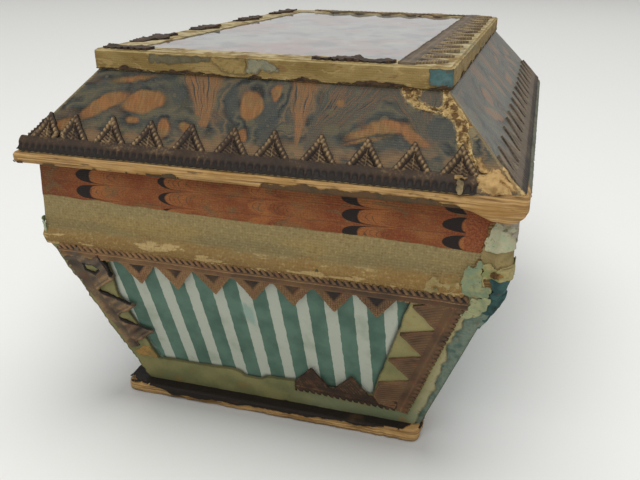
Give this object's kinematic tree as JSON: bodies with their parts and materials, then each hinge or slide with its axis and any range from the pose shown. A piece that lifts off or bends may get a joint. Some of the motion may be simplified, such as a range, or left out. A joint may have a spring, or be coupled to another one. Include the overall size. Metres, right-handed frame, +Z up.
{
  "type": "paper-covered wooden casket",
  "caption": "Small paper-covered wooden casket: flared body with a windowed striped front and pressed trim, and a hinged hipped lid with a glazed top.",
  "frame": {"origin": "middle of the underside of the base board", "axes": "+Z up, front towards -Y, +X to the right seen from the front"},
  "size_m": [0.14, 0.194, 0.1136],
  "materials": {
    "bare_wood": "worn, unvarnished softwood",
    "black_paper": "dull black-brown paper",
    "lining_paper": "plain aged paper",
    "cream_card": "aged card",
    "teal_paper": "dull teal paper",
    "striped_paper": "green and white striped paper",
    "cream_paper": "ribbed cream paper",
    "red_marbled_paper": "comb-marbled paper",
    "slate_marbled_paper": "comb-marbled paper",
    "gilt_paper": "pressed paper with oxidised gilding",
    "binding_paper": "aged cream paper",
    "print_paper": "faded paper",
    "clear_glass": "clear, slightly dusty",
    "hinge_brass": "tarnished"
  },
  "bodies": {
    "body": {"back_trim_bottom": "gilt_paper", "back_trim_left": "gilt_paper", "back_trim_right": "gilt_paper", "back_trim_top": "gilt_paper", "base_board": "bare_wood", "base_paper": "black_paper", "card_frame_back": "cream_card", "card_frame_front": "cream_card", "cream_band": "cream_paper", "floor_lining": "lining_paper", "front_trim_bottom": "gilt_paper", "front_trim_left": "gilt_paper", "front_trim_right": "gilt_paper", "front_trim_top": "gilt_paper", "hinge_pin_left": "hinge_brass", "hinge_pin_right": "hinge_brass", "hinge_wall_leaf_left": "hinge_brass", "hinge_wall_leaf_right": "hinge_brass", "hinge_wall_nails": "hinge_brass", "lower_lining": "lining_paper", "lower_wall_back": "bare_wood", "lower_wall_front": "bare_wood", "lower_wall_left": "bare_wood", "lower_wall_right": "bare_wood", "red_marbled_band": "red_marbled_paper", "side_paper_left": "teal_paper", "side_paper_right": "teal_paper", "striped_panel_back": "striped_paper", "striped_panel_front": "striped_paper", "upper_lining": "lining_paper", "upper_wall_back": "bare_wood", "upper_wall_front": "bare_wood", "upper_wall_left": "bare_wood", "upper_wall_right": "bare_wood"},
    "lid": {"edge_binding": "binding_paper", "glass_pane": "clear_glass", "hinge_lid_leaf_left": "hinge_brass", "hinge_lid_leaf_right": "hinge_brass", "hinge_lid_nails": "hinge_brass", "lid_board": "bare_wood", "lid_lining": "lining_paper", "lid_slope_back": "bare_wood", "lid_slope_front": "bare_wood", "lid_slope_left": "bare_wood", "lid_slope_right": "bare_wood", "lid_top_board": "bare_wood", "lid_trim_back": "gilt_paper", "lid_trim_front": "gilt_paper", "lid_trim_left": "gilt_paper", "lid_trim_right": "gilt_paper", "marbled_paper_back": "slate_marbled_paper", "marbled_paper_front": "slate_marbled_paper", "marbled_paper_left": "slate_marbled_paper", "marbled_paper_right": "slate_marbled_paper", "print_card": "print_paper", "top_trim_back": "gilt_paper", "top_trim_front": "gilt_paper", "top_trim_left": "gilt_paper", "top_trim_right": "gilt_paper"}
  },
  "joints": [
    {"name": "lid_hinge", "type": "hinge", "parent": "body", "child": "lid", "pos_m": [0, 0.0924, 0.0819], "axis": [-1, 0, 0], "range_deg": [0, 100]}
  ]
}
